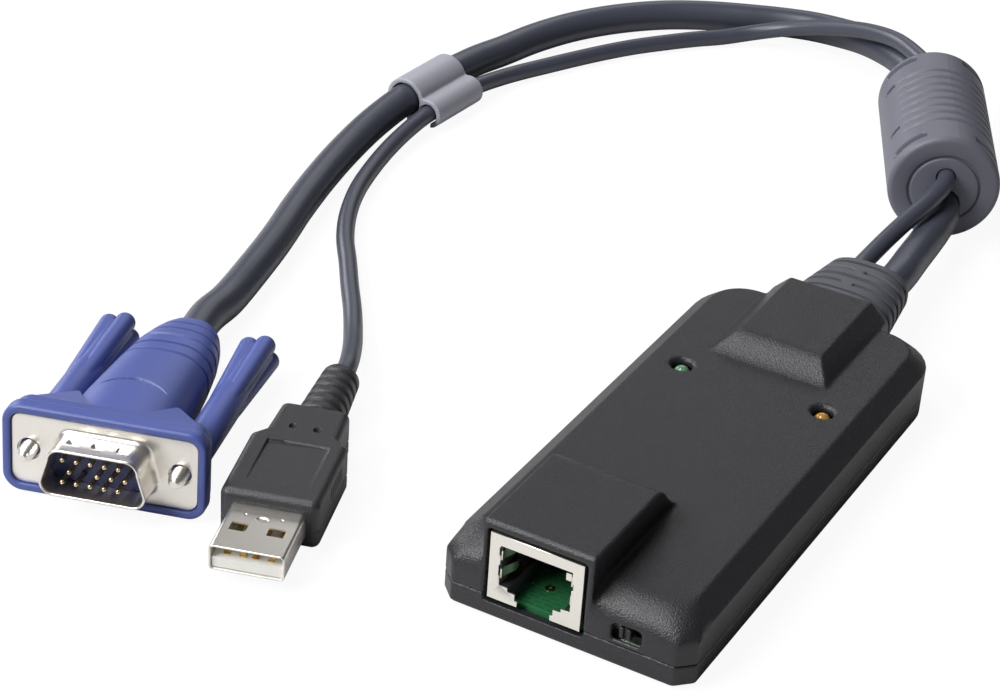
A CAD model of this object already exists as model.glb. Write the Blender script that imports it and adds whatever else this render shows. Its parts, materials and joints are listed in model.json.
# %% [markdown]
# # A console interface pod with two corded plugs
# The object is a small black plastic pod with a network socket, two cords that run through a
# ferrite sleeve and a clip, a blue video plug and a black serial bus plug. Its solid parts come
# from the CAD frame. This script gives every visible piece its moulded shape and its finish.

import json
import math

import bmesh
import bpy
import numpy as np
from mathutils import Matrix, Vector


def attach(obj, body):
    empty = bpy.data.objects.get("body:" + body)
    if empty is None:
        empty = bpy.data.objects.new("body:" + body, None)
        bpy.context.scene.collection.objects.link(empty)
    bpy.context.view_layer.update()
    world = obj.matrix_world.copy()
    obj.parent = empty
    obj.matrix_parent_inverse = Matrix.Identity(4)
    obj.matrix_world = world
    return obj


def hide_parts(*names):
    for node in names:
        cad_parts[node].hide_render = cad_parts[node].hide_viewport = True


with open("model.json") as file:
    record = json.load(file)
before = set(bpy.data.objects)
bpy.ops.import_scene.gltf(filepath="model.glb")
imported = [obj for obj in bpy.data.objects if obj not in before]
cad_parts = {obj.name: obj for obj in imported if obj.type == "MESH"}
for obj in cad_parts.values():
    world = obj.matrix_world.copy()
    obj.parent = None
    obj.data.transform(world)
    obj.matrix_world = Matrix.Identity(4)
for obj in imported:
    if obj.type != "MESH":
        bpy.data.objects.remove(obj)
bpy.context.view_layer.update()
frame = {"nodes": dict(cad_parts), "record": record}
mm = 0.001

# %% [markdown]
# ## The camera
# The photograph looks down on the socket end from the right. A fit of the pod's edges and of the
# plugs gave this place, these angles and this lens, so the render lines up with it.

# %% Set the camera
azimuth, elevation, roll = math.radians(27.596), math.radians(31.406), math.radians(3.879)
level = math.cos(elevation)
back = Vector((math.sin(azimuth) * level, -math.cos(azimuth) * level, math.sin(elevation)))
level_right = Vector((math.cos(azimuth), math.sin(azimuth), 0))
level_up = back.cross(level_right)
right = level_right * math.cos(roll) + level_up * math.sin(roll)
up = level_up * math.cos(roll) - level_right * math.sin(roll)
camera_data = bpy.data.cameras.new("photo_camera")
camera_data.sensor_width, camera_data.lens = 36, 96.22
camera_data.clip_start, camera_data.clip_end = 0.01, 20
camera = bpy.data.objects.new("photo_camera", camera_data)
bpy.context.scene.collection.objects.link(camera)
camera_at = Vector((137.13, -336.88, 246.19)) * mm
camera.matrix_world = Matrix.Translation(camera_at) @ Matrix((right, up, back)).transposed().to_4x4()
bpy.context.scene.camera = camera
print("camera looks from", [round(v, 3) for v in camera.location])

# %% [markdown]
# ## Places of the corded pieces
# The plugs, the sleeve and the clip lie at their own angles on the table. Each gets a local frame
# with y along its length and z up, so its shape can be written without any turning. These are the
# same values as in the part's source.

# %% Local frames
plug_at, plug_pitch, plug_yaw = Vector((-77.75, -57.3, 7.9)), -3.9, 17.2
usb_at, usb_yaw = Vector((-46.8, -63.2, 4.42)), 17.3
sleeve_r, sleeve_l, sleeve_yaw = 10.7, 40, 25.3
sleeve_at = Vector((0, 103.6, sleeve_r))
clip_at, clip_yaw = Vector((-106.5, 93.9, 0)), -4.5


def placed(at, yaw, pitch=0):
    turn = Matrix.Rotation(math.radians(yaw), 4, "Z") @ Matrix.Rotation(math.radians(pitch), 4, "X")
    return Matrix.Translation(at) @ turn


on_pod = Matrix.Identity(4)
on_plug = placed(plug_at, plug_yaw, plug_pitch)
on_usb = placed(usb_at, usb_yaw)
on_sleeve = placed(sleeve_at, sleeve_yaw)
on_clip = placed(clip_at, clip_yaw)
print("the plug's far end is at", [round(v, 1) for v in on_plug @ Vector((0, 45, 0))])

# %% [markdown]
# ## The cords
# A cord is a smooth tube along a line, so a curve with a round bevel fits it best. The line goes
# through the hand-placed points of the route. A Catmull-Rom spline passes through every point and
# keeps the bends soft, and short straight steps along it make the curve that is drawn.

# %% Routes of the two cords
boot_end, step, video_exit, usb_exit = 66.15, 6, 4.2, 3.2
video_route = [(video_exit, boot_end, 8), (video_exit, boot_end + step, 8), (3.4, 80.5, 7.4), (2.8, 88, 7),
    (2.4, 94, 7.1), (1.6, 100.2, 7.3)]
video_route += [on_sleeve @ Vector((0, share * sleeve_l, -3.3)) for share in (-0.02, 0.25, 0.5, 0.75, 1.02)]
video_route += [(-21, 148, 7.4), (-25.5, 154.5, 7.4), (-31, 160, 7.1), (-37, 164.5, 6.5), (-43.5, 168.5, 5.5),
    (-50, 171, 4.4), (-57, 172, 3.6), (-64, 170.5, 3.3), (-71, 167.5, 3.3), (-78, 164, 3.3), (-86, 158.5, 3.3),
    (-93.5, 150.5, 3.3), (-99.5, 141, 3.3), (-103.5, 131, 3.3), (-106, 120, 3.5), (-107.5, 111.5, 4.1)]
video_route += [on_clip @ Vector((-2.6, y, 4.5)) for y in (8.3, 0, -8.3)]
video_route += [(-109.8, 74, 3.9), (-108.6, 62, 3.4), (-106.4, 50, 3.3), (-103.3, 37, 3.3), (-99.8, 24.5, 3.3),
    (-96.9, 12, 3.3), (-94.8, 1.5, 3.3)]
video_route += [on_plug @ Vector((0, 53, 0)), on_plug @ Vector((0, 45, 0))]

usb_route = [(-usb_exit, boot_end, 8), (-usb_exit, boot_end + step, 8), (-2.4, 80, 9.2), (-1.2, 86.5, 10.7),
    (0.3, 93.5, 12.2), (0.9, 99.5, 13.2)]
usb_route += [on_sleeve @ Vector((0, share * sleeve_l, 2.6)) for share in (-0.02, 0.25, 0.5, 0.75, 1.02)]
usb_route += [(-20.8, 147, 13.3), (-25.5, 152, 13.2), (-32.5, 158, 12.4), (-40, 161.5, 11), (-47.5, 163.5, 9),
    (-54.5, 164.5, 6.8), (-61, 164.5, 4.6), (-67, 162.5, 2.8), (-72, 158.5, 1.9), (-76.5, 154, 1.8),
    (-81, 148.5, 1.8), (-85.5, 142.5, 1.8), (-89.5, 136, 1.8), (-93, 129.5, 1.8), (-96.5, 122.5, 1.8),
    (-99.5, 116, 1.9), (-101.3, 110, 2.3)]
usb_route += [on_clip @ Vector((3.2, y, 3)) for y in (8.3, 0, -8.3)]
usb_route += [(-103.8, 78, 2.8), (-103.3, 70, 2.2), (-101.8, 61, 1.8), (-99.2, 51.5, 1.8), (-95.5, 42.5, 1.8),
    (-91, 34.5, 1.8), (-86, 27.5, 1.8), (-80.8, 20, 1.8), (-76, 13.3, 1.8), (-71.9, 7, 2.1), (-68.3, 1, 3)]
usb_route += [on_usb @ Vector((0, 59, 0)), on_usb @ Vector((0, 55, 0))]
print("route points:", len(video_route), "and", len(usb_route))

# %% Draw the cords


def smooth_line(points, step):
    p = [Vector(q) for q in points]
    p = [p[0] * 2 - p[1]] + p + [p[-1] * 2 - p[-2]]
    line = []
    for a, b, c, d in zip(p, p[1:], p[2:], p[3:]):
        t1, t2, t3 = (math.sqrt((v - u).length) for u, v in ((a, b), (b, c), (c, d)))
        m1 = (c - b) + ((b - a) / t1 - (c - a) / (t1 + t2)) * t2
        m2 = (c - b) + ((d - c) / t3 - (d - b) / (t2 + t3)) * t2
        count = max(1, round((c - b).length / step))
        for k in range(count):
            t = k / count
            near, far = 2 * t**3 - 3 * t**2 + 1, 3 * t**2 - 2 * t**3
            line.append(b * near + m1 * (t**3 - 2 * t**2 + t) + c * far + m2 * (t**3 - t**2))
    return line + [p[-2]]


def draw_cord(name, line, diameter):
    data = bpy.data.curves.new(name, "CURVE")
    data.dimensions, data.bevel_depth, data.bevel_resolution, data.use_fill_caps = "3D", diameter / 2 * mm, 6, True
    spline = data.splines.new("POLY")
    spline.points.add(len(line) - 1)
    for point, at in zip(spline.points, line):
        point.co = (*(at * mm), 1)
    piece = bpy.data.objects.new(name, data)
    bpy.context.scene.collection.objects.link(piece)
    return piece


video_line, usb_line = smooth_line(video_route, 1.5), smooth_line(usb_route, 1.2)
video_lead = draw_cord("video_lead", video_line, 6.46)
usb_lead = draw_cord("usb_lead", usb_line, 3.46)
for lead, line in ((video_lead, video_line), (usb_lead, usb_line)):
    print(lead.name, "is", round(sum((b - a).length for a, b in zip(line, line[1:])), 1), "mm long")

# %% [markdown]
# ## Shared effects
# Moulded plastic is never quite even. A spark-eroded mould leaves a fine grain, the tone drifts a
# little over a part, and handling polishes some spots. Each of these is a node group that is
# built once here and placed in many materials with that material's own values.

# %% Node group helpers


def new_group(name, inputs, outputs):
    group = bpy.data.node_groups.new(name, "ShaderNodeTree")
    for label, kind, value in inputs:
        socket = group.interface.new_socket(label, in_out="INPUT", socket_type=kind)
        socket.default_value = value
    for label, kind in outputs:
        group.interface.new_socket(label, in_out="OUTPUT", socket_type=kind)
    return group, group.nodes.new("NodeGroupInput"), group.nodes.new("NodeGroupOutput")


def add(tree, kind, **values):
    node = tree.nodes.new(kind)
    for key, value in values.items():
        if key in node.inputs:
            node.inputs[key].default_value = value
        else:
            setattr(node, key, value)
    return node


def wire(tree, *pairs):
    for source, target in pairs:
        tree.links.new(source, target)


FLOAT, COLOR = "NodeSocketFloat", "NodeSocketColor"

# %% Fine mould grain: small bumps, and gloss that changes from spot to spot
grain, grain_in, grain_out = new_group("mould_grain",
    [("Size", FLOAT, 3000.0), ("Roughness", FLOAT, 0.5), ("Spread", FLOAT, 0.1)],
    [("Height", FLOAT), ("Roughness", FLOAT)])
place = add(grain, "ShaderNodeTexCoord")
fine = add(grain, "ShaderNodeTexNoise", Detail=3.0, Roughness=0.6)
pits = add(grain, "ShaderNodeTexVoronoi", feature="SMOOTH_F1", Smoothness=0.6)
halves = add(grain, "ShaderNodeMath", operation="MULTIPLY")
halves.inputs[1].default_value = 0.55
mixed = add(grain, "ShaderNodeMath", operation="ADD")
handled = add(grain, "ShaderNodeTexNoise", Scale=90.0, Detail=4.0)
centred = add(grain, "ShaderNodeMath", operation="SUBTRACT")
centred.inputs[1].default_value = 0.5
spread = add(grain, "ShaderNodeMath", operation="MULTIPLY")
total = add(grain, "ShaderNodeMath", operation="ADD")
wire(grain, (place.outputs["Object"], fine.inputs["Vector"]), (place.outputs["Object"], pits.inputs["Vector"]),
    (place.outputs["Object"], handled.inputs["Vector"]), (grain_in.outputs["Size"], fine.inputs["Scale"]),
    (grain_in.outputs["Size"], pits.inputs["Scale"]), (pits.outputs["Distance"], halves.inputs[0]),
    (halves.outputs[0], mixed.inputs[0]), (fine.outputs["Fac"], mixed.inputs[1]),
    (mixed.outputs[0], grain_out.inputs["Height"]), (handled.outputs["Fac"], centred.inputs[0]),
    (centred.outputs[0], spread.inputs[0]), (grain_in.outputs["Spread"], spread.inputs[1]),
    (spread.outputs[0], total.inputs[0]), (grain_in.outputs["Roughness"], total.inputs[1]),
    (total.outputs[0], grain_out.inputs["Roughness"]))
print("mould_grain has", len(grain.nodes), "nodes")

# %% Tone drift: the colour wanders a little, with a few paler specks of dust
tone, tone_in, tone_out = new_group("tone_drift", [("Color", COLOR, (0.5, 0.5, 0.5, 1)),
    ("Dust", COLOR, (0.6, 0.6, 0.6, 1)), ("Drift", FLOAT, 0.15), ("Specks", FLOAT, 0.1)], [("Color", COLOR)])
place = add(tone, "ShaderNodeTexCoord")
clouds = add(tone, "ShaderNodeTexNoise", Scale=60.0, Detail=5.0)
swing = add(tone, "ShaderNodeMapRange")
swing.inputs["To Min"].default_value = -0.5
swing.inputs["To Max"].default_value = 0.5
amount = add(tone, "ShaderNodeMath", operation="MULTIPLY")
factor = add(tone, "ShaderNodeMath", operation="ADD")
factor.inputs[1].default_value = 1.0
shaded = add(tone, "ShaderNodeVectorMath", operation="SCALE")
dots = add(tone, "ShaderNodeTexNoise", Scale=2600.0, Detail=2.0)
rare = add(tone, "ShaderNodeMapRange")
rare.inputs["From Min"].default_value, rare.inputs["From Max"].default_value = 0.66, 0.78
speck = add(tone, "ShaderNodeMath", operation="MULTIPLY")
blend = add(tone, "ShaderNodeMix", data_type="RGBA")
wire(tone, (place.outputs["Object"], clouds.inputs["Vector"]), (clouds.outputs["Fac"], swing.inputs["Value"]),
    (swing.outputs["Result"], amount.inputs[0]), (tone_in.outputs["Drift"], amount.inputs[1]),
    (amount.outputs[0], factor.inputs[0]), (tone_in.outputs["Color"], shaded.inputs[0]),
    (factor.outputs[0], shaded.inputs["Scale"]), (place.outputs["Object"], dots.inputs["Vector"]),
    (dots.outputs["Fac"], rare.inputs["Value"]), (rare.outputs["Result"], speck.inputs[0]),
    (tone_in.outputs["Specks"], speck.inputs[1]), (speck.outputs[0], blend.inputs["Factor"]),
    (shaded.outputs[0], blend.inputs["A"]), (tone_in.outputs["Dust"], blend.inputs["B"]),
    (blend.outputs["Result"], tone_out.inputs["Color"]))
print("tone_drift has", len(tone.nodes), "nodes")

# %% [markdown]
# ## One recipe for every finish
# All the finishes share a Principled shader, the tone drift on the colour and the grain on the
# bump and the gloss. A function keeps them short, and each finish still has its own numbers: the
# tone of the vinyl cords drifts most, and the nickel's gloss changes most from spot to spot.

# %% The recipe


def finish(name, color, roughness, size=3000.0, bump=0.2, depth=0.03, drift=0.15, specks=0.05, spread=0.1,
        dust=None, **principled):
    material = bpy.data.materials.new(name)
    material.use_nodes = True
    tree = material.node_tree
    shader = tree.nodes["Principled BSDF"]
    for key, value in principled.items():
        shader.inputs[key.replace("_", " ")].default_value = value
    tint = add(tree, "ShaderNodeGroup", node_tree=tone)
    tint.inputs["Color"].default_value = (*color, 1)
    tint.inputs["Dust"].default_value = (*(dust or [min(1, c * 1.6 + 0.03) for c in color]), 1)
    tint.inputs["Drift"].default_value, tint.inputs["Specks"].default_value = drift, specks
    skin = add(tree, "ShaderNodeGroup", node_tree=grain)
    skin.inputs["Size"].default_value, skin.inputs["Roughness"].default_value = size, roughness
    skin.inputs["Spread"].default_value = spread
    relief = add(tree, "ShaderNodeBump", Strength=bump, Distance=depth * mm)
    wire(tree, (tint.outputs["Color"], shader.inputs["Base Color"]),
        (skin.outputs["Roughness"], shader.inputs["Roughness"]),
        (skin.outputs["Height"], relief.inputs["Height"]), (relief.outputs["Normal"], shader.inputs["Normal"]))
    return material


# %% Plastics, vinyl and rubber
housing_black = finish("housing_black", (0.016, 0.016, 0.019), 0.4, size=3300, bump=0.9, depth=0.1, drift=0.12,
    specks=0.10)
socket_black = finish("socket_black", (0.012, 0.012, 0.014), 0.35, size=4000, bump=0.1)
boot_grey = finish("boot_grey", (0.072, 0.074, 0.088), 0.5, size=3000, bump=0.2, drift=0.1)
sleeve_grey = finish("sleeve_grey", (0.115, 0.118, 0.148), 0.48, size=2500, bump=0.15, drift=0.1)
clip_grey = finish("clip_grey", (0.33, 0.335, 0.385), 0.42, size=2500, bump=0.15, drift=0.12)
cord_slate = finish("cord_slate", (0.052, 0.056, 0.078), 0.36, size=2200, bump=0.12, drift=0.2, specks=0.06)
plug_blue = finish("plug_blue", (0.064, 0.09, 0.3), 0.4, size=2200, bump=0.3, depth=0.05, drift=0.12, specks=0.06)
insulator_blue = finish("insulator_blue", (0.012, 0.02, 0.11), 0.35, size=3000, bump=0.1)
mould_black = finish("mould_black", (0.026, 0.026, 0.03), 0.4, size=3500, bump=0.8, depth=0.08, drift=0.15,
    specks=0.1)
tongue_white = finish("tongue_white", (0.82, 0.81, 0.77), 0.4, size=3000, bump=0.1, drift=0.04, specks=0.02)
nylon_white = finish("nylon_white", (0.72, 0.7, 0.6), 0.45, size=3000, bump=0.1, drift=0.05)
wire_red = finish("wire_red", (0.42, 0.03, 0.02), 0.4, size=3000, bump=0.1)
chip_black = finish("chip_black", (0.02, 0.02, 0.022), 0.55, size=5000, bump=0.4)
ferrite_dark = finish("ferrite_dark", (0.035, 0.035, 0.04), 0.6, size=1800, bump=0.6)
ceramic_tan = finish("ceramic_tan", (0.35, 0.22, 0.1), 0.5, size=4000, bump=0.2)
print("plastic finishes made")

# %% Metals and lenses
plug_nickel = finish("plug_nickel", (0.87, 0.835, 0.78), 0.32, size=900, bump=0.06, drift=0.08, specks=0.08,
    spread=0.16, dust=(0.45, 0.42, 0.38), Metallic=1.0)
shield_nickel = finish("tinned_steel", (0.9, 0.87, 0.8), 0.36, size=900, bump=0.06, drift=0.08, specks=0.1,
    spread=0.15, dust=(0.4, 0.38, 0.34), Metallic=1.0)
pin_nickel = finish("pin_nickel", (0.72, 0.58, 0.36), 0.28, size=1500, bump=0.05, Metallic=1.0)
zinc_steel = finish("zinc_steel", (0.62, 0.62, 0.64), 0.32, size=1200, bump=0.2, Metallic=1.0)
gold_plate = finish("gold_plate", (0.85, 0.6, 0.22), 0.28, size=1500, bump=0.05, Metallic=1.0)
can_aluminium = finish("capacitor_aluminium", (0.76, 0.77, 0.78), 0.3, size=1500, bump=0.1, Metallic=1.0)
green_lens = finish("green_lens", (0.16, 0.33, 0.2), 0.12, size=900, bump=0.03, specks=0,
    Transmission_Weight=0.35, IOR=1.5, Coat_Weight=0.4)
amber_lens = finish("amber_lens", (0.5, 0.27, 0.05), 0.12, size=900, bump=0.03, specks=0,
    Transmission_Weight=0.35, IOR=1.5, Coat_Weight=0.4)
print("metal and lens finishes made")

# %% [markdown]
# The board is green lacquer over copper tracks, with small bright pads. A brick pattern gives
# straight tracks in both directions, and a Voronoi pattern gives the round pads.

# %% The circuit board's finish
board_green = finish("board_green", (0.02, 0.12, 0.045), 0.3, size=1500, bump=0.1, drift=0.25)
tree = board_green.node_tree
shader = tree.nodes["Principled BSDF"]
place = add(tree, "ShaderNodeTexCoord")
tracks = add(tree, "ShaderNodeTexBrick", Scale=260.0)
tracks.inputs["Mortar Size"].default_value, tracks.inputs["Mortar Smooth"].default_value = 0.06, 0.3
pads = add(tree, "ShaderNodeTexVoronoi", Scale=420.0)
ring = add(tree, "ShaderNodeMapRange")
ring.inputs["From Min"].default_value, ring.inputs["From Max"].default_value = 0.11, 0.08
lines = add(tree, "ShaderNodeMix", data_type="RGBA")
lines.inputs["B"].default_value = (0.028, 0.155, 0.06, 1)
spots = add(tree, "ShaderNodeMix", data_type="RGBA")
spots.inputs["B"].default_value = (0.55, 0.5, 0.38, 1)
tint = next(n for n in tree.nodes if n.type == "GROUP" and n.node_tree == tone)
wire(tree, (place.outputs["Object"], tracks.inputs["Vector"]), (place.outputs["Object"], pads.inputs["Vector"]),
    (tracks.outputs["Fac"], lines.inputs["Factor"]), (tint.outputs["Color"], lines.inputs["A"]),
    (pads.outputs["Distance"], ring.inputs["Value"]), (ring.outputs["Result"], spots.inputs["Factor"]),
    (lines.outputs["Result"], spots.inputs["A"]), (spots.outputs["Result"], shader.inputs["Base Color"]))
print("board finish has", len(tree.nodes), "nodes")

# %% [markdown]
# ## Shape tools
# Most pieces here are moulded along one line: a boot, a sleeve, a hood. Such a form is a loft, a
# row of rings joined by faces, and its grooves are rings or parts of rings pressed in. A loft
# written in numbers gives clean, even faces that a boolean cut could not.

# %% Rings, lofts and pieces


def oval(y, half_w, half_h, power=2.0, count=128, mid=(0, 0)):
    turn = np.linspace(0, 2 * np.pi, count, endpoint=False)
    c, s = np.cos(turn), np.sin(turn)
    return np.stack([mid[0] + half_w * np.sign(c) * np.abs(c) ** (2 / power), np.full(count, float(y)),
        mid[1] + half_h * np.sign(s) * np.abs(s) ** (2 / power)], 1)


def level_ring(x, y, z, r, count):
    turn = np.linspace(0, 2 * np.pi, count, endpoint=False)
    return np.stack([x + r * np.cos(turn), y + r * np.sin(turn), np.full(count, z)], 1)


def cornered(y, corners, arc=8, sides=(12, 12, 12, 12)):
    """A ring of rounded corners: each is (x, z, radius, first angle, last angle)."""
    ring = []
    for (x, z, r, first, last), after, steps in zip(corners, corners[1:] + corners[:1], sides):
        turn = np.radians(np.linspace(first, last, arc))
        bend = np.stack([x + r * np.cos(turn), z + r * np.sin(turn)], 1)
        start = np.array([after[0] + after[2] * math.cos(math.radians(after[3])),
            after[1] + after[2] * math.sin(math.radians(after[3]))])
        share = np.linspace(0, 1, steps + 2)[1:-1, None]
        ring += [bend, bend[-1] * (1 - share) + start * share]
    flat = np.concatenate(ring)
    return np.stack([flat[:, 0], np.full(len(flat), float(y)), flat[:, 1]], 1)


def rounded(y, w, h, r, arc=8, sides=(12, 12, 12, 12), lift=0):
    x, z = w / 2 - r, h / 2 - r
    return cornered(y, [(x, z + lift, r, 0, 90), (-x, z + lift, r, 90, 180), (-x, lift - z, r, 180, 270),
        (x, lift - z, r, 270, 360)], arc, sides)


def loft(rings, closed_ends=True):
    """Joins rings. With open ends, the last ring joins the first, as in a tube with a wall."""
    count, points = len(rings[0]), np.concatenate(rings)
    faces = []
    for i in range(len(rings) - (1 if closed_ends else 0)):
        a, b = i * count, (i + 1) % len(rings) * count
        faces += [(a + k, a + (k + 1) % count, b + (k + 1) % count, b + k) for k in range(count)]
    if closed_ends:
        faces += [tuple(range(count))[::-1], tuple(range(len(points) - count, len(points)))]
    return points, faces


def solid_mesh(name, points, faces, where):
    """A mesh in metres whose faces all look outwards, as a boolean needs them."""
    work = bmesh.new()
    corners = [work.verts.new((where @ Vector(p)) * mm) for p in points]
    for face in faces:
        work.faces.new([corners[i] for i in face])
    bmesh.ops.recalc_face_normals(work, faces=work.faces)
    mesh = bpy.data.meshes.new(name)
    work.to_mesh(mesh)
    work.free()
    return mesh


def make(name, solids, material, where=on_pod, body="module", sharp=40, replaces=()):
    points, faces, start = [], [], 0
    for p, f in solids:
        points.append(p)
        faces += [tuple(start + i for i in face) for face in f]
        start += len(p)
    piece = bpy.data.objects.new(name, solid_mesh(name, np.concatenate(points), faces, where))
    bpy.context.scene.collection.objects.link(piece)
    settle(piece, material, body, sharp, replaces)
    return piece


def settle(piece, material, body="module", sharp=40, replaces=()):
    mesh = piece.data
    mesh.materials.clear()
    mesh.materials.append(material)
    mesh.shade_smooth()
    if sharp:
        mesh.set_sharp_from_angle(angle=math.radians(sharp))
    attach(piece, body)
    if replaces:
        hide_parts(*replaces)
    print(piece.name, "has", len(mesh.polygons), "faces")


def bake_modifiers(piece):
    graph = bpy.context.evaluated_depsgraph_get()
    made = bpy.data.meshes.new_from_object(piece.evaluated_get(graph))
    piece.modifiers.clear()
    piece.data = made


def soft_copy(node, name, voxel, steps, factor=0.5):
    """A moulded copy of a CAD solid: fine even faces, with every edge and inner corner softened."""
    piece = bpy.data.objects.new(name, frame["nodes"][node].data.copy())
    bpy.context.scene.collection.objects.link(piece)
    remesh = piece.modifiers.new("even", "REMESH")
    remesh.mode, remesh.voxel_size, remesh.adaptivity = "VOXEL", voxel * mm, 0
    smooth = piece.modifiers.new("soft", "SMOOTH")
    smooth.factor, smooth.iterations = factor, steps
    bake_modifiers(piece)
    return piece


def edged_copy(node, name, width, segments=2, holes=()):
    """A copy of a CAD solid, cut where asked, with its flat faces joined up and its sharp edges rounded."""
    rough = bpy.data.objects.new(name, frame["nodes"][node].data.copy())
    bpy.context.scene.collection.objects.link(rough)
    cut(rough, holes)
    work = bmesh.new()
    work.from_mesh(rough.data)
    bpy.data.objects.remove(rough)
    bmesh.ops.remove_doubles(work, verts=work.verts, dist=0.001 * mm)
    bmesh.ops.dissolve_limit(work, angle_limit=math.radians(2), verts=work.verts, edges=work.edges)
    mesh = bpy.data.meshes.new(name)
    work.to_mesh(mesh)
    work.free()
    piece = bpy.data.objects.new(name, mesh)
    bpy.context.scene.collection.objects.link(piece)
    bevel = piece.modifiers.new("edges", "BEVEL")
    bevel.width, bevel.segments = width * mm, segments
    bevel.limit_method, bevel.angle_limit = "ANGLE", math.radians(40)
    bevel.miter_outer = "MITER_ARC"
    bake_modifiers(piece)
    return piece


def cut(piece, solids, where=on_pod):
    """Takes small solids out of a piece."""
    for points, faces in solids:
        cutter = bpy.data.objects.new("cutter", solid_mesh("cutter", points, faces, where))
        bpy.context.scene.collection.objects.link(cutter)
        work = piece.modifiers.new("cut", "BOOLEAN")
        work.object, work.operation, work.solver = cutter, "DIFFERENCE", "EXACT"
        bake_modifiers(piece)
        bpy.data.objects.remove(cutter)


def soft_step(value, low, high):
    t = np.clip((value - low) / (high - low), 0, 1)
    return t * t * (3 - 2 * t)


def groove(distance, half_width, wall):
    """1 in the groove, 0 outside, with sloping walls."""
    return 1 - soft_step(np.abs(distance), half_width - wall, half_width + wall)


def toward(rings, mid, depth):
    """Presses points towards the middle line by depth(angle, y, x, z)."""
    for ring in rings:
        x, z = ring[:, 0] - mid[0], ring[:, 2] - mid[1]
        far = np.hypot(x, z)
        share = 1 - depth(np.degrees(np.arctan2(z, x)), ring[:, 1], ring[:, 0], ring[:, 2]) / np.maximum(far, 1e-6)
        ring[:, 0], ring[:, 2] = mid[0] + x * share, mid[1] + z * share
    return rings


print("shape tools ready")

# %% [markdown]
# ## The pod
# The two covers are injection moulded, so every edge has a small radius and the humps flow into
# the lid. A voxel remesh of the CAD covers, smoothed a little, rounds all of these at once and
# keeps the windows, the countersinks and the seam where they are. The edge above the socket face
# is rounder than the rest, so a vertex group marks it and only that zone is smoothed further.

# %% Covers
pod_lid = soft_copy("top_cover", "pod_lid", 0.29, 3)
hump_left, hump_right, edge_back, edge_low = -14.3, 4.7, -41, 8.1
front_edge = pod_lid.vertex_groups.new(name="front_edge")
for vertex in pod_lid.data.vertices:
    x, y, z = vertex.co / mm
    clear_of_hump = max(0, hump_left - x, x - hump_right)
    weight = min(1, clear_of_hump / 2.5) * min(1, max(0, edge_back - y) / 3) * min(1, max(0, z - edge_low) / 1.2)
    if weight > 0:
        front_edge.add([vertex.index], weight, "REPLACE")
rounder = pod_lid.modifiers.new("rounder", "SMOOTH")
rounder.vertex_group, rounder.factor, rounder.iterations = "front_edge", 0.5, 220
bake_modifiers(pod_lid)
settle(pod_lid, housing_black, sharp=0, replaces=["top_cover"])
pod_tray = soft_copy("bottom_cover", "pod_tray", 0.35, 2)
settle(pod_tray, housing_black, sharp=0, replaces=["bottom_cover"])

# %% [markdown]
# ## The socket and the switch
# The jack is a folded steel shield round a black insert. Small notches and the keyway of the latch
# are cut in the shield's front. Two spring fingers at each side and a small tab at the top right
# touch the plug's shield. The insert's floor is open, so the green board with a round pad shows.

# %% Socket, contacts and knob
jack_x, port_half, shield_front, shield_back = -4.9, 5.9, -49.4, -48.2
keyway, right_high = (5.6, 1.9, jack_x, 4.3), (0.6, 1.3, 1.1, 11.0)
left_high, left_low = (0.6, 1.5, -10.9, 12.6), (0.6, 2.0, -10.9, 9.1)
notches = [loft([rounded(y, w, h, 0.1, 2, (1, 1, 1, 1)) + np.array([x, 0, z]) for y in (shield_front, shield_back)])
    for w, h, x, z in (keyway, left_high, left_low, right_high)]
jack_shield = edged_copy("rj45_shield", "jack_shield", 0.05, 1, holes=notches)
settle(jack_shield, shield_nickel, replaces=["rj45_shield"])
floor_window = loft([rounded(y, 9.6, 3.4, 0.2, 2, (1, 1, 1, 1)) + np.array([-4.6, 0, 5.2]) for y in (-49, -37.2)])
jack_insert = edged_copy("rj45_insert", "jack_insert", 0.06, 1, holes=[floor_window])
settle(jack_insert, socket_black, replaces=["rj45_insert"])
fingers = []
for side in (-1, 1):
    for low in (7.6, 10.9):
        x = jack_x + side * (port_half + 0.1)
        fingers.append(loft([rounded(y, 0.22, 1.7, 0.08, 3, (3, 3, 3, 3)) + np.array([x - side * bow, 0, low + 0.85])
            for y, bow in ((-48.5, 0.05), (-47.6, 0.1), (-46.5, 0.55), (-45.4, 0.95), (-44.2, 0.7), (-43.4, 0.2))]))
fingers.append(loft([rounded(y, 0.9, 1.3, 0.12, 3, (2, 2, 2, 2)) + np.array([0.35, 0, 12.3])
    for y in (-48.3, -48.1, -46)]))
make("jack_fingers", fingers, shield_nickel)
springs = []
for i in range(8):
    x = jack_x + (i - 3.5) * 1.02
    route = [(-42.6, 13.5), (-41.9, 13.0), (-40.6, 12.5), (-39, 11.9), (-37.6, 11.3), (-37.05, 10.95)]
    springs.append(loft([rounded(y, 0.42, 0.4, 0.12, 3, (2, 2, 2, 2)) + np.array([x, 0, z]) for y, z in route]))
make("jack_springs", springs, gold_plate, replaces=["rj45_contacts"])
pad_x, pad_y, board_top, pad_top, pad_hole, pad_r = -5.75, -41.75, 3.6, 3.68, 0.36, 0.8
pad_outline = ((pad_hole, board_top), (pad_hole, pad_top), (pad_r, pad_top), (pad_r, board_top))
pad = [level_ring(pad_x, pad_y, z, r, 40) for r, z in pad_outline]
make("board_pad", [loft(pad, closed_ends=False)], gold_plate)
switch_knob = edged_copy("switch_lever", "switch_knob", 0.14)
settle(switch_knob, socket_black, body="lever", replaces=["switch_lever"])

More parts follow.
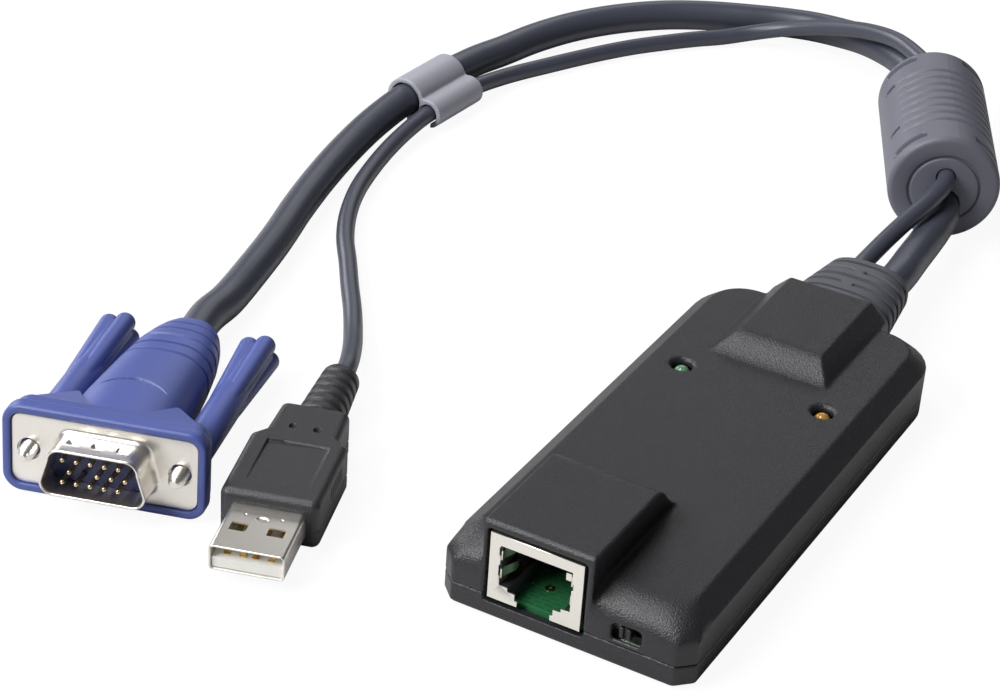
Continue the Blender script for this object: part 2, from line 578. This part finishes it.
# %% Lamps: a flanged foot and a domed clear tip
lamp_y, lamp_r, dome_z = 16.1, 1.5, 9.8
for name, x, material, slot, node in (("link_dome", -12.7, green_lens, "green_lens", "link_lamp"),
        ("power_dome", 13.1, amber_lens, "amber_lens", "power_lamp")):
    outline = [(1.84, 6.92), (1.84, 7.8), (1.78, 7.88), (lamp_r, 7.9), (lamp_r, dome_z)]
    outline += [(lamp_r * math.cos(a), dome_z + lamp_r * math.sin(a)) for a in np.radians(np.linspace(8, 86, 12))]
    make(name, [loft([level_ring(x, lamp_y, z, r, 48) for r, z in outline])], material, replaces=[node])

# %% [markdown]
# ## The boot
# The grey boot grips both cords where they leave the pod. Its grooves let it bend: every second one
# runs across the top, and the ones between stop short of the middle, so that the boot stays strong.

# %% Boot
boot_start, boot_run, boot_mid, rib_depth = 49.15, 17, (0.6, 8), 1.3
rib = boot_run / 6


def boot_press(angle, y, x, z):
    depth = np.zeros(len(angle))
    side = 1 - soft_step(np.abs(((angle + 90) % 360) - 180), 128, 136)
    for i in range(1, 6):
        across = side * (1.0 if i % 2 else soft_step(np.abs(x - 0.4), 1.0, 1.7))
        depth = np.maximum(depth, across * groove(y - (boot_start + i * rib + 0.45), 0.42, 0.12))
    return depth * rib_depth


def boot_ring(y):
    share = min(max((y - boot_start) / boot_run, 0), 1)
    half_w, half_h = 10 - 2.2 * share, 5.6 - 0.9 * share
    rounding = 0
    if y < boot_start + 0.6:
        rounding = 0.35 * (1 - (y - boot_start) / 0.6)
    if y > boot_end - 0.8:
        rounding = 0.8 * (1 - math.sqrt(max(0, 1 - ((y - boot_end + 0.8) / 0.8) ** 2)))
    return oval(y, half_w - rounding, half_h - rounding, 2.6, 200, boot_mid)


inner = [oval(y, w, h, 2.6, 200, boot_mid) for y, w, h in ((45.65, 9.6, 5.1), (45.65, 9.75, 5.2),
    (47.2, 9.75, 5.2), (47.3, 9.1, 4.7), (49.1, 9.1, 4.7))]
outer = toward([boot_ring(y) for y in np.append(np.arange(boot_start, 65.4, 0.18),
    [65.5, 65.75, 65.95, 66.08, boot_end])], boot_mid, boot_press)
make("ribbed_boot", [loft(inner + outer)], boot_grey, replaces=["cord_boot"], sharp=50)

# %% [markdown]
# ## The ferrite sleeve
# A two-part grey jacket holds a ferrite core round the cords. Fine rings are pressed into its upper
# and right side. There are two long slots by each end and two short ones between them, and a faint
# line shows where the mould parted. All of these are pressed towards the axis on one fine loft.

# %% Ferrite jacket
first_ring, ring_pitch, ring_depth, slot_depth, dash_depth = 8.95, 3.1, 0.6, 2.4, 1.7


def jacket_press(angle, y, x, z):
    turn = (angle + 360) % 360
    field = soft_step((turn + 30) % 360, 0, 16) * (1 - soft_step((turn + 30) % 360, 146, 176))
    rings = np.zeros(len(turn))
    for i in range(8):
        rings = np.maximum(rings, groove(y - (first_ring + i * ring_pitch), 0.42, 0.3))
    depth = ring_depth * rings * field
    for middle in (3.6, 37.2):
        for centre, half in ((136, 20), (41, 19)):
            slot = groove(turn - centre, half, 2.5) * groove(y - middle, 0.75, 0.2)
            depth = np.maximum(depth, slot_depth * slot)
    for middle in (12.5, 31):
        depth = np.maximum(depth, dash_depth * groove(turn - 152, 7, 1.5) * groove(y - middle, 0.5, 0.16))
    return depth - 0.05 * groove(turn - 82, 0.5, 0.3)


edge = [(0, 3.0), (0, 6.2), (0.04, 6.35), (0.15, 6.45), (0.6, 6.5), (0.6, 6.85), (0.32, 7.0), (0.25, 7.2),
    (0.25, 8.6)]
near_end = [oval(y, r, r, 2, 256) for y, r in edge]
curve = [(1.35 - 1.1 * math.sin(a), sleeve_r - 1.1 + 1.1 * math.cos(a)) for a in np.radians(np.linspace(90, 0, 9))]
near_edge = [oval(y, r, r, 2, 256) for y, r in curve]
barrel = toward([oval(y, sleeve_r, sleeve_r, 2, 256) for y in np.arange(1.6, 38.5, 0.16)], (0, 0), jacket_press)
far_edge = [oval(sleeve_l - y, r, r, 2, 256) for y, r in reversed(curve)]
far_end = [oval(sleeve_l - y, r, r, 2, 256) for y, r in reversed(edge)]
ferrite_sleeve = make("ferrite_sleeve", [loft(near_end + near_edge + barrel + far_edge + far_end)], sleeve_grey,
    on_sleeve, replaces=["ferrite_jacket"], sharp=50)
for lane, r in ((-3.3, 3.45), (2.6, 1.95)):
    cut(ferrite_sleeve, [loft([oval(y, r, r, 2, 40, (0, lane)) for y in (-1, 41)])], on_sleeve)
cut(ferrite_sleeve, [loft([oval(y, 8.2, 8.2, 2, 64, (0, -1.1)) for y in (5.6, 34.4)])], on_sleeve)
ferrite_sleeve.data.set_sharp_from_angle(angle=math.radians(50))

# %% The clip: two joined half-open rings, softened all round
cord_joiner = soft_copy("cord_clip", "cord_joiner", 0.2, 4)
settle(cord_joiner, clip_grey, sharp=0, replaces=["cord_clip"])

# %% [markdown]
# ## The video plug
# A soft blue hood is moulded round a nickel shell. The hood is one loft with five bend grooves near
# the cord and a crescent pressed in its top. The frame is a second loft that starts inside its
# recess, so the plate sits a little below the rim, and two small gussets brace it.

# %% Hood and frame
hood_y = np.arange(4.6, 45.01, 0.13)
stations = np.array([[4, 9.3, 6.7], [8, 9.3, 6.7], [14, 9.1, 6.85], [22, 8.5, 6.35], [29, 8, 5.85],
    [36, 7.2, 5.35], [41, 6.2, 4.5], [44, 5.1, 3.9], [45, 4.2, 3.5]])
even = np.ones(13) / 13
hood_w, hood_h = (np.convolve(np.pad(np.interp(hood_y, stations[:, 0], stations[:, k]), 6, mode="edge"), even,
    "valid") for k in (1, 2))
first_bend, bend_pitch, bend_depth, crescent_half, crescent_depth = 28.35, 3.3, 0.75, 5.6, 0.7


def hood_press(angle, y, x, z):
    depth = np.zeros(len(angle))
    for i in range(5):
        depth = np.maximum(depth, bend_depth * groove(y - (first_bend + i * bend_pitch), 0.27, 0.13))
    arch = 13.8 + 2.0 * (1 - (x / crescent_half) ** 2)
    half = 0.12 + 0.34 * (1 - np.clip(np.abs(x) / crescent_half, 0, 1))
    crescent = groove(y - arch, half, 0.13) * soft_step(crescent_half + 0.1 - np.abs(x), 0, 0.4) * (z > 0)
    return np.maximum(depth, crescent_depth * crescent)


hood_body = loft(toward([oval(y, w, h, 2.5, 240) for y, w, h in zip(hood_y, hood_w, hood_h)], (0, 0), hood_press))
frame_rings = [rounded(y, w, h, r, 10, (4, 4, 4, 4)) for y, w, h, r in ((1.0, 31.1, 12.8, 1.9),
    (-0.25, 31.1, 12.8, 1.9), (-0.42, 31.25, 12.95, 2.0), (-0.5, 31.6, 13.3, 2.1), (-0.5, 32.9, 14.6, 2.8),
    (-0.42, 33.3, 15.0, 3.0), (-0.2, 33.65, 15.35, 3.12), (0.15, 33.8, 15.5, 3.2), (1.9, 33.8, 15.5, 3.2),
    (2.2, 33.65, 15.35, 3.12), (2.38, 33.2, 14.95, 3.0), (2.45, 32.6, 14.8, 3.1), (4.1, 32.6, 14.8, 3.1),
    (4.6, 32.3, 14.5, 3.0), (4.9, 31.7, 13.9, 2.7), (5.0, 30.8, 13.0, 2.4))]
gussets = []
for side in (-1, 1):
    tip = np.array([side * 8.3, 11.6, 5.3])
    inner, outer, root = side * 4.6, side * 13.6, 4.8
    base = np.array([[inner, root, 7.15], [outer, root, 6.95], [outer, root, 2.0], [inner, root, 2.0]])
    gussets.append(loft([base[::-side], (base * 0.06 + tip * 0.94)[::-side]]))
make("blue_hood", [hood_body, loft(frame_rings)] + gussets, plug_blue, on_plug,
    replaces=["vga_hood"], sharp=45)

# %% [markdown]
# The shell is drawn from one sheet of steel: a flat plate, a small flare, and a D-shaped rim with a
# rolled lip and three dimples on its long side, which press on the socket. The plate has a hole
# for each thumbscrew.

# %% Plate, rim and dimples


def rim_ring(y, grow):
    r = 2.3 + grow
    return cornered(y, [(5.3, 1.95, r, 0, 90), (-5.3, 1.95, r, 90, 180), (-6.45, -1.95, r, 180, 270),
        (6.45, -1.95, r, 270, 360)], 12, (70, 14, 60, 14))


def rim_press(angle, y, x, z):
    depth = np.zeros(len(angle))
    for middle in (-4.1, 0, 4.1):
        depth = np.maximum(depth, 0.5 * groove(x - middle, 0.85, 0.2) * groove(y + 2.9, 0.6, 0.2) * (z > 3))
    return depth


lip = [(-5.55, -0.45), (-5.78, -0.42), (-5.88, -0.32), (-5.9, -0.22), (-5.88, -0.12), (-5.78, -0.03), (-5.55, 0.0)]
rim = [rim_ring(0.7, -0.45)] + [rim_ring(y, g) for y, g in lip]
rim += toward([rim_ring(y, 0) for y in np.arange(-5.4, -0.9, 0.16)], (0, 0), rim_press)
rim += [rim_ring(-0.8 * (1 - math.sin(a)), 0.8 * (1 - math.cos(a))) for a in np.radians(np.linspace(5, 84, 8))]
plate = [rounded(y, 30.8 - 2 * e, 12.5 - 2 * e, 1.8 - e, 8, (4, 4, 4, 4))
    for y, e in ((0.8, 0), (0.16, 0), (0.05, 0.05), (0, 0.17))]
nickel_face = make("nickel_face", [loft(plate)], plug_nickel, on_plug, replaces=["vga_plate"])
for side in (-1, 1):
    cut(nickel_face, [loft([oval(y, 1.95, 1.95, 2, 40, (side * 12.5, 0)) for y in (-1, 2)])], on_plug)
nickel_face.data.set_sharp_from_angle(angle=math.radians(40))
make("nickel_rim", [loft(rim, closed_ends=False)], plug_nickel, on_plug, sharp=60)

# %% [markdown]
# Each thumbscrew is a blue grip over a steel screw. The grip is a round shank that carries four
# rods, which spread a little towards the cord. The thread is a real helix: the radius of each ring
# point goes up and down with its angle and its place along the screw.

# %% Thumbscrews
screw_x, screw_r, screw_tip, pitch, thread = 12.5, 1.42, -3.1, 0.635, 0.3
for side, body in ((-1, "left_thumbscrew"), (1, "right_thumbscrew")):
    middle = side * screw_x
    shank = [oval(y, r, r, 2, 64, (middle, 0)) for y, r in ((5.3, 1.28), (5.3, 2.6), (5.42, 2.78), (5.6, 2.85),
        (26.6, 2.85), (27.4, 2.7), (27.9, 2.7), (34, 2.75), (41.4, 2.95), (42.0, 2.6), (42.2, 1.0))]
    rods = []
    for i in range(4):
        turn = math.radians(-30 - 90 * i)
        dome = [(42.8 + 1.3 * math.sin(a), 0.5 + 1.3 * math.cos(a)) for a in np.radians(np.linspace(8, 86, 8))]
        rods.append([oval(y, r, r, 2, 36, (middle + c * math.cos(turn), c * math.sin(turn)))
            for y, r in [(21, 1.5), (24, 1.6), (30, 1.66), (36, 1.73), (42.8, 1.8)] + dome
            for c in [1.4 + 0.65 * (min(y, 43) - 25.75) / 16.8]])
    make(f"{body}_grip", [loft(shank)] + [loft(rod) for rod in rods], plug_blue, on_plug,
        body=body, sharp=45, replaces=[f"{body.split('_')[0]}_grip"])
    rings = []
    for y in np.append(np.arange(screw_tip, 2.0, 0.055), [2.1, 13.9]):
        ring = oval(y, 1, 1, 2, 48)
        turn = np.arctan2(ring[:, 2], ring[:, 0]) / (2 * np.pi)
        wave = np.abs(((y / pitch - turn) % 1) - 0.5) * 2
        r = screw_r - (thread * wave if y < 2.05 else 0.22) - 0.62 * max(0, 1 - (y - screw_tip) / 1.5) ** 1.5
        ring[:, 0], ring[:, 2] = ring[:, 0] * r + middle, ring[:, 2] * r
        rings.append(ring)
    make(f"{body}_screw", [loft(rings)], plug_nickel, on_plug, body=body,
        replaces=[f"{body.split('_')[0]}_jackscrew"], sharp=30)

# %% [markdown]
# ## The serial bus plug
# The black grip is one loft whose corner rings are rounded rectangles: a block, a narrower neck and
# a ribbed strain relief. Its top has a sunken panel that was made for a badge and stays plain here,
# two marks left by the mould's pins, and fine ridges on the sides.

# %% Grip of the serial bus plug


def block_ring(y, w, h, r):
    return rounded(y, w, h, r, 8, (110, 36, 30, 36))


front = [(11.8 + 1.5 * (1 - math.cos(a)), 1.5 * (1 - math.sin(a))) for a in np.radians(np.linspace(0, 90, 11))]
block_w, block_h, block_r = 16.2, 8.8, 1.4
block = [block_ring(y, block_w - 2 * e, block_h - 2 * e, max(0.25, block_r - e)) for y, e in [(11.8, 2.1)] + front]
for y in np.append(np.arange(13.4, 38.3, 0.16), [38.5]):
    half = 8.1 - 1.95 * np.clip((y - 28.9) / 2.1, 0, 1) - 0.4 * np.clip((y - 31) / 8, 0, 1)
    block.append(block_ring(y, 2 * half, block_h, block_r))
for bend in np.radians(np.linspace(25, 90, 7)):
    shrink = 2.4 * (1 - math.cos(bend))
    block.append(block_ring(38.2 + 1.2 * math.sin(bend), 11.5 - shrink, block_h - shrink, 1.3))
for ring in block:
    x, y, z = ring.T
    top, flank = z > 4.2, np.abs(z) < 3.1
    inside = soft_step(x, -4.95, -4.65) * (1 - soft_step(x, 4.9, 5.7))
    inside = inside * soft_step(y, 15.4, 16.4) * (1 - soft_step(y, 27.6, 27.85))
    sunk = inside * (0.12 + 0.36 * np.clip((y - 15.6) / 12, 0, 1)) * (1 - 0.45 * np.clip((x + 4.8) / 10, 0, 1))
    for px, py in ((-2.0, 32.3), (2.1, 32.2)):
        sunk = np.maximum(sunk, 0.7 * (1 - soft_step(np.hypot(x - px, y - py), 0.45, 0.7)))
    ring[:, 2] -= top * sunk
    ridges = np.maximum.reduce([groove(y - (19.4 + i * 1.1), 0.3, 0.2) for i in range(6)])
    ridges = ridges * soft_step(z, 0.2, 0.8) * (1 - soft_step(z, 2.6, 3.1))
    seam = groove(z + 1.0, 0.12, 0.08) * (np.abs(x) > 5)
    ring[:, 0] -= np.sign(x) * flank * np.maximum(0.28 * ridges, 0.15 * seam)
relief, relief_start, relief_pitch = [], 39.4, 2.6
for y in np.arange(39.0, 55.0, 0.13):
    share = np.clip((y - relief_start) / 15.6, 0, 1)
    r = 4.15 - 0.85 * share
    ring = oval(y, r, r, 2, 96)
    if y > relief_start:
        place = ((y - relief_start) / relief_pitch) % 1
        wave = soft_step(place, 0.0, 0.24) * (1 - soft_step(place, 0.76, 1.0))
        ring[:, [0, 2]] *= 1 - (1 - wave) * 0.75 / r
    relief.append(ring)
relief.append(oval(55, 2.2, 2.2, 2, 96))
make("black_grip", [loft(block), loft(relief)], mould_black, on_usb, replaces=["usb_mould"], sharp=50)

# %% [markdown]
# The plug's shell is a folded steel tube with two square windows on each flat side. A pressed oval
# and two nibs lie behind them.

# %% Shell of the serial bus plug


def shell_ring(y, inset):
    return rounded(y, 12 - 2 * inset, 4.5 - 2 * inset, 0.62 - inset * 0.9, 5, (96, 8, 96, 8))


tube = [shell_ring(y, 0.3) for y in (17.8, 0.12)] + [shell_ring(0.03, 0.25), shell_ring(0, 0.16),
    shell_ring(0.03, 0.05), shell_ring(0.12, 0)]
body_rings = [shell_ring(y, 0) for y in np.append(np.arange(0.3, 11.7, 0.14), [11.8, 17.8])]
for ring in body_rings:
    x, y, z = ring.T
    dent = 0.16 * (1 - soft_step(np.hypot(x / 1.05, (y - 8.7) / 0.62), 0.7, 1.05))
    for nx in (-2.9, 2.9):
        dent = np.maximum(dent, 0.12 * (1 - soft_step(np.hypot(x - nx, y - 9.3), 0.1, 0.4)))
    ring[:, 2] -= np.sign(z) * (np.abs(z) > 2.2) * dent
steel_tube = make("steel_tube", [loft(tube + body_rings, closed_ends=False)], plug_nickel,
    on_usb, replaces=["usb_shell"], sharp=50)
for x in (-3, 3):
    for z in (-2.6, 1.6):
        cut(steel_tube, [loft([rounded(y, 2.7, 1.0, 0.12, 3, (1, 1, 1, 1)) + np.array([x, 0, z + 0.5])
            for y in (4.85, 6.95)])], on_usb)

# %% What each cord carries
video_length, usb_length = 0.346, 0.3355
plug_solids = ["vga_rear_shell", "vga_insulator", "vga_pins"]
video_pieces = ["ribbed_boot", "ferrite_sleeve", "ferrite_core", "cord_joiner", "blue_hood", "nickel_face",
    "nickel_rim", "left_thumbscrew_grip", "left_thumbscrew_screw", "right_thumbscrew_grip",
    "right_thumbscrew_screw"] + plug_solids
usb_pieces = ["black_grip", "steel_tube", "usb_tongue", "usb_contacts"]
print("the cords carry", len(video_pieces), "and", len(usb_pieces), "pieces")

# %% [markdown]
# ## Finishes of the CAD solids that stay
# The board, its parts and the small metal pieces are already the right shape. They only get their
# finishes here, by the slot that the record names for each node.

# %% Finish the remaining nodes
finishes = {"housing_black": housing_black, "zinc_steel": zinc_steel, "board_green": board_green,
    "tinned_steel": shield_nickel, "socket_black": socket_black, "gold_plate": gold_plate,
    "green_lens": green_lens, "amber_lens": amber_lens, "chip_black": chip_black,
    "capacitor_aluminium": can_aluminium, "ceramic_tan": ceramic_tan, "nylon_white": nylon_white,
    "wire_red": wire_red, "boot_grey": boot_grey, "ferrite_dark": ferrite_dark, "sleeve_grey": sleeve_grey,
    "clip_grey": clip_grey, "cord_slate": cord_slate, "plug_blue": plug_blue, "plug_nickel": plug_nickel,
    "insulator_blue": insulator_blue, "pin_nickel": pin_nickel, "mould_black": mould_black,
    "tongue_white": tongue_white}
slots = {part["node"]: part["material_slot"] for part in frame["record"]["subparts"]}
for name, node in frame["nodes"].items():
    for index in range(max(1, len(node.data.materials))):
        if index < len(node.data.materials):
            node.data.materials[index] = finishes[slots[name]]
        else:
            node.data.materials.append(finishes[slots[name]])
print("finished", len(slots), "nodes")

# %% Cords: finish, place and facts
both_cords = [(video_lead, "video_cord", video_exit, video_length, 0.0065, video_pieces),
    (usb_lead, "usb_cord", -usb_exit, usb_length, 0.0035, usb_pieces)]
for lead, node, exit_x, length, diameter, lead_pieces in both_cords:
    lead.data.materials.append(cord_slate)
    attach(lead, "module")
    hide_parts(node)

# %% [markdown]
# ## Floor and light
# The photograph is a cut-out on white. A wide pale floor that is seen as white by the camera keeps
# the soft shadow under the pieces. The light comes from above and from the front left, so the sides
# that face right stay dark. Two weaker lamps lift the cords and the far edges.

# %% Floor
bpy.ops.mesh.primitive_plane_add(size=6, location=(0, 0, -0.0002))
floor = bpy.context.object
floor.name = "floor"
white = bpy.data.materials.new("floor_white")
white.use_nodes = True
tree = white.node_tree
tree.nodes["Principled BSDF"].inputs["Base Color"].default_value = (0.62, 0.62, 0.62, 1)
tree.nodes["Principled BSDF"].inputs["Roughness"].default_value = 0.9
glow = add(tree, "ShaderNodeEmission", Color=(1, 1, 1, 1), Strength=1.06)
seen = add(tree, "ShaderNodeLightPath")
share = add(tree, "ShaderNodeMath", operation="MULTIPLY")
share.inputs[1].default_value = 0.88
both = add(tree, "ShaderNodeMixShader")
wire(tree, (seen.outputs["Is Camera Ray"], share.inputs[0]), (share.outputs[0], both.inputs[0]),
    (tree.nodes["Principled BSDF"].outputs[0], both.inputs[1]), (glow.outputs[0], both.inputs[2]),
    (both.outputs[0], tree.nodes["Material Output"].inputs["Surface"]))
floor.data.materials.append(white)

# %% World and lamps
world = bpy.data.worlds.new("studio")
bpy.context.scene.world = world
world.use_nodes = True
tree = world.node_tree
plain = tree.nodes["Background"]
plain.inputs["Color"].default_value, plain.inputs["Strength"].default_value = (1, 1, 1, 1), 0.08
bright = add(tree, "ShaderNodeBackground", Color=(1, 1, 1, 1), Strength=1.0)
seen = add(tree, "ShaderNodeLightPath")
either = add(tree, "ShaderNodeMath", operation="MAXIMUM")
mixed = add(tree, "ShaderNodeMixShader")
wire(tree, (seen.outputs["Is Camera Ray"], either.inputs[0]), (seen.outputs["Is Transmission Ray"], either.inputs[1]),
    (either.outputs[0], mixed.inputs[0]), (plain.outputs[0], mixed.inputs[1]), (bright.outputs[0], mixed.inputs[2]),
    (mixed.outputs[0], tree.nodes["World Output"].inputs["Surface"]))


def soft_lamp(name, at, aim, size, power):
    data = bpy.data.lights.new(name, "AREA")
    data.shape, data.size, data.size_y, data.energy = "RECTANGLE", size[0], size[1], power
    lamp = bpy.data.objects.new(name, data)
    bpy.context.scene.collection.objects.link(lamp)
    lamp.location = at
    lamp.rotation_euler = (Vector(aim) - Vector(at)).to_track_quat("-Z", "Y").to_euler()


soft_lamp("over", (-0.34, -0.1, 0.95), (-0.04, 0.03, 0), (0.5, 0.4), 5)
soft_lamp("front", (-0.58, -0.8, 0.85), (-0.03, 0, 0), (0.65, 0.5), 17)
soft_lamp("side", (-0.95, 0.3, 0.4), (-0.06, 0.05, 0), (0.5, 0.35), 3.5)
soft_lamp("behind", (-0.35, 0.9, 0.5), (-0.03, 0.05, 0), (0.6, 0.35), 1.0)
bpy.context.scene.view_settings.view_transform = "Standard"
print("lit")
